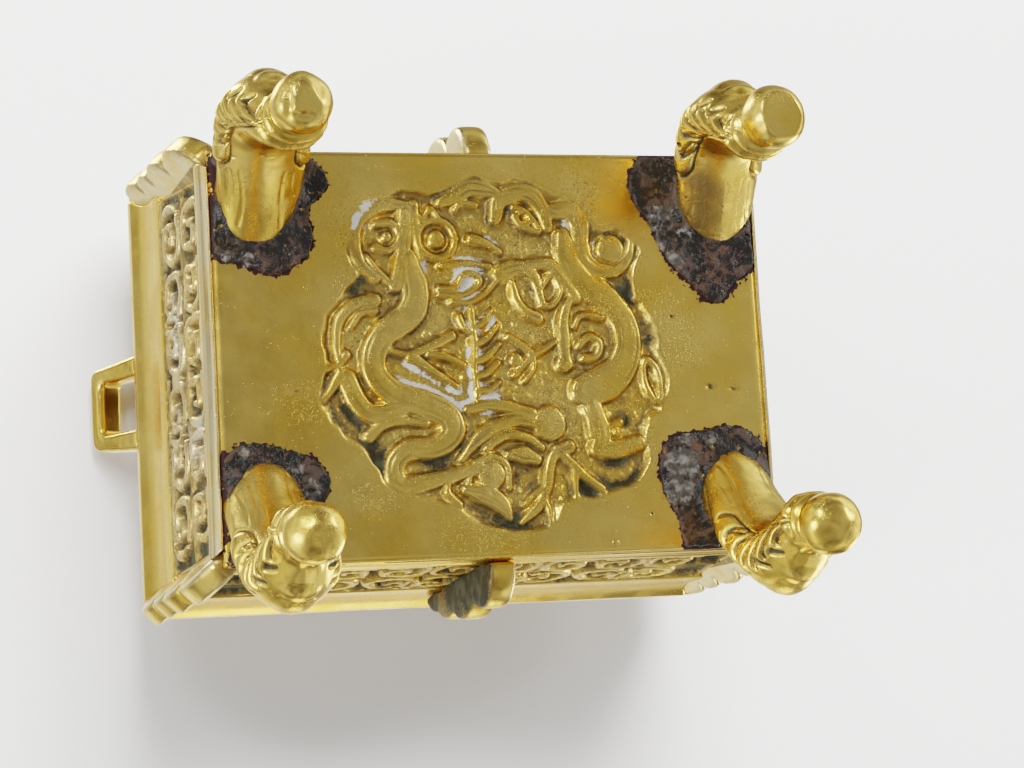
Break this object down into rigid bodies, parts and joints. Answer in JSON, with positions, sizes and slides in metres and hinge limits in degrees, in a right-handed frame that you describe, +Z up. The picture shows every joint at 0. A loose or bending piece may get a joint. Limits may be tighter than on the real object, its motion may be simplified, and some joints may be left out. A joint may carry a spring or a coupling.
{
  "type": "incense burner",
  "caption": "Rectangular cast brass censer: flared open bowl with lobed flanges, loop handles and splayed legs with ball toes.",
  "frame": {"origin": "middle of the footprint, on the surface that the feet rest on", "axes": "+Z up, +X along the long walls, +Y along the short walls towards the rear"},
  "size_m": [0.1616, 0.12, 0.1449],
  "materials": {
    "brass": "polished cast brass, tarnished in the recesses",
    "braze": "blackened braze and burnt flux"
  },
  "bodies": {
    "root": {"base_plate": "brass", "casting_plug": "brass", "left_wall": "brass", "right_wall": "brass", "front_wall": "brass", "rear_wall": "brass", "front_flange": "brass", "rear_flange": "brass", "front_left_flange": "brass", "front_right_flange": "brass", "rear_left_flange": "brass", "rear_right_flange": "brass", "front_left_leg": "brass", "front_right_leg": "brass", "rear_left_leg": "brass", "rear_right_leg": "brass", "left_handle": "brass", "right_handle": "brass", "front_left_braze": "braze", "front_right_braze": "braze", "rear_left_braze": "braze", "rear_right_braze": "braze"}
  },
  "joints": []
}
